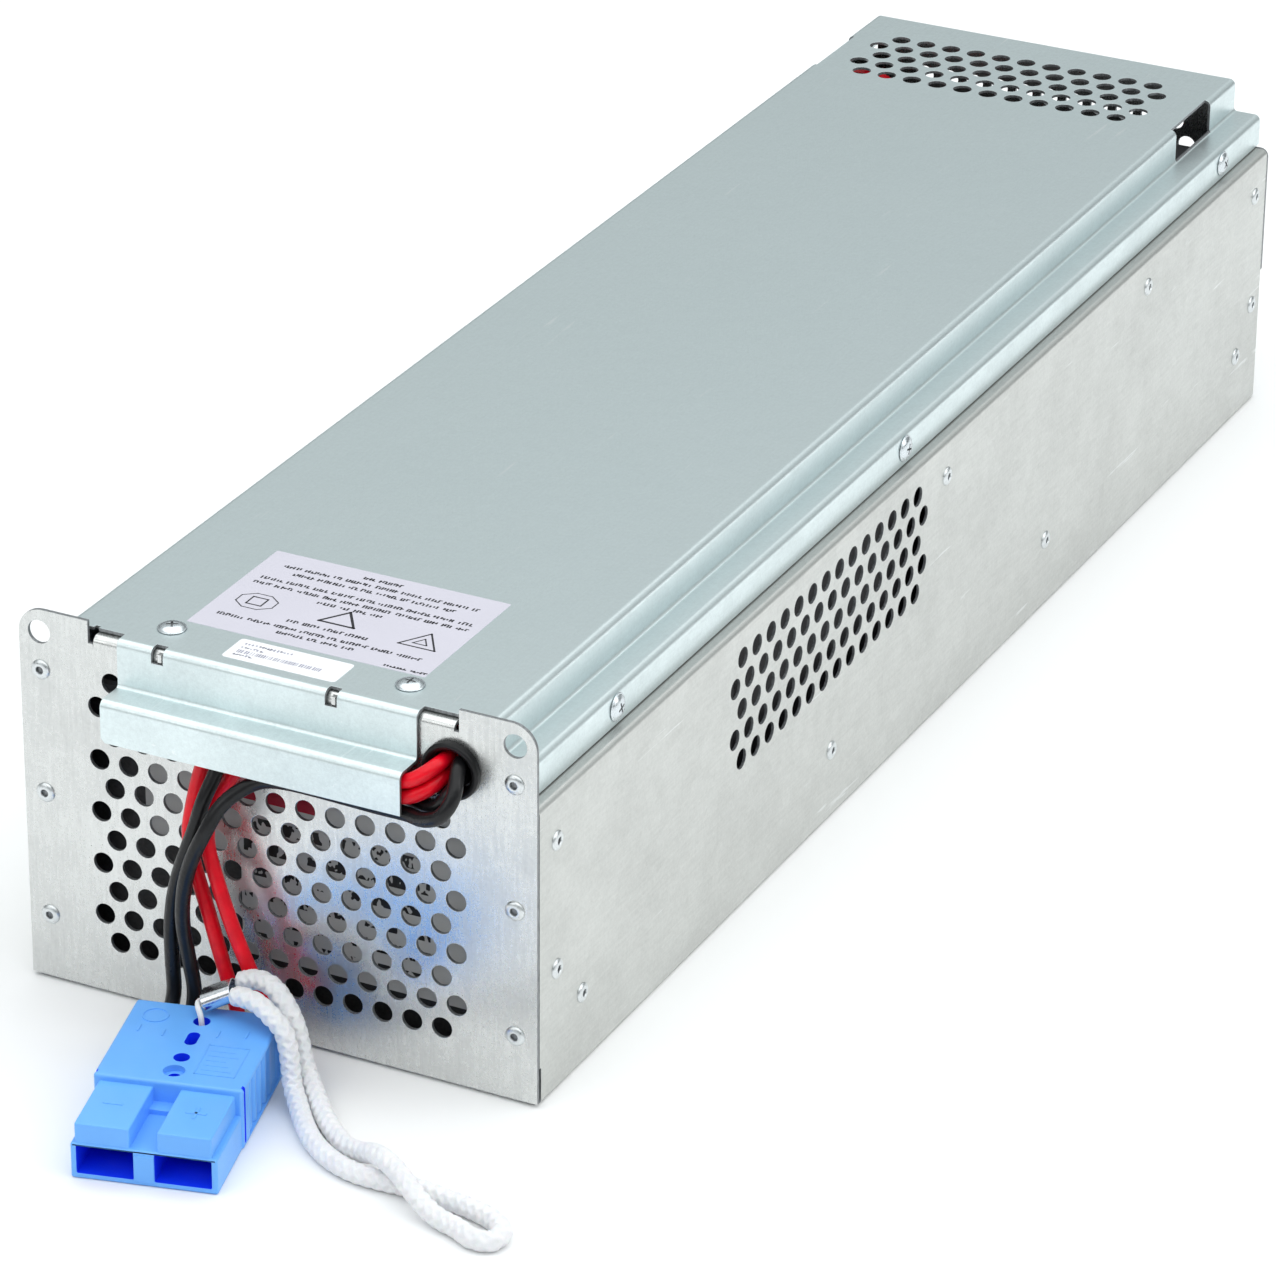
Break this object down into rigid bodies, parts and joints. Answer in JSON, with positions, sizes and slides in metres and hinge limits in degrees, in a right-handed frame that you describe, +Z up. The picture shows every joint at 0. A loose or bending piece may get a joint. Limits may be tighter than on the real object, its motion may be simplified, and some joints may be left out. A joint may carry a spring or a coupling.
{
  "type": "server rack battery",
  "caption": "Slide-in rack battery pack: folded steel case with perforated front, screw ears and folded pull handle, and a free lead ending in a boxy power connector with a rope pull.",
  "frame": {"origin": "middle of the case's underside, handle lip included and the free lead left out; z = 0 is the surface it stands on", "axes": "+Z up; -Y is the front with the handle, grommet and lead; +Y runs along the case to the rear plate; +X is the grommet's side"},
  "size_m": [0.1916, 0.6408, 0.1197],
  "materials": {
    "galvanised_steel": "satin",
    "screw_steel": "satin",
    "block_case": "matte",
    "block_lid": "matte",
    "lead_tin": "matte",
    "foam": "matte",
    "black_rubber": "matte",
    "red_insulation": "satin",
    "black_insulation": "satin",
    "connector_blue": "satin",
    "contact_silver": "polished",
    "rope_white": "matte",
    "crimp_metal": "satin"
  },
  "bodies": {
    "root": {"block_case_1": "block_case", "block_case_2": "block_case", "block_case_3": "block_case", "block_case_4": "block_case", "block_case_5": "block_case", "block_case_6": "block_case", "block_case_7": "block_case", "block_case_8": "block_case", "block_lid_1": "block_lid", "block_lid_2": "block_lid", "block_lid_3": "block_lid", "block_lid_4": "block_lid", "block_lid_5": "block_lid", "block_lid_6": "block_lid", "block_lid_7": "block_lid", "block_lid_8": "block_lid", "cable_black_1": "black_insulation", "cable_black_2": "black_insulation", "cable_red_1": "red_insulation", "cable_red_2": "red_insulation", "connector_housing": "connector_blue", "contact_minus": "contact_silver", "contact_plus": "contact_silver", "floor_tray": "galvanised_steel", "front_plate": "galvanised_steel", "grommet": "black_rubber", "handle_fold": "galvanised_steel", "inner_lead_black_1": "black_insulation", "inner_lead_black_2": "black_insulation", "inner_lead_red_1": "red_insulation", "inner_lead_red_2": "red_insulation", "jumper_1": "lead_tin", "jumper_2": "lead_tin", "jumper_3": "lead_tin", "jumper_5": "lead_tin", "jumper_6": "lead_tin", "jumper_7": "lead_tin", "left_side_panel": "galvanised_steel", "left_skirt_screw_1": "screw_steel", "left_skirt_screw_2": "screw_steel", "left_skirt_screw_3": "screw_steel", "left_spacer": "foam", "left_stiffener_1": "galvanised_steel", "left_stiffener_2": "galvanised_steel", "pull_cord": "rope_white", "pull_rope": "rope_white", "rear_pad": "foam", "rear_plate": "galvanised_steel", "right_side_panel": "galvanised_steel", "right_skirt_screw_1": "screw_steel", "right_skirt_screw_2": "screw_steel", "right_skirt_screw_3": "screw_steel", "right_spacer": "foam", "right_stiffener_1": "galvanised_steel", "right_stiffener_2": "galvanised_steel", "rope_crimp": "crimp_metal", "top_cover": "galvanised_steel", "top_screw_1": "screw_steel", "top_screw_2": "screw_steel"}
  },
  "joints": []
}
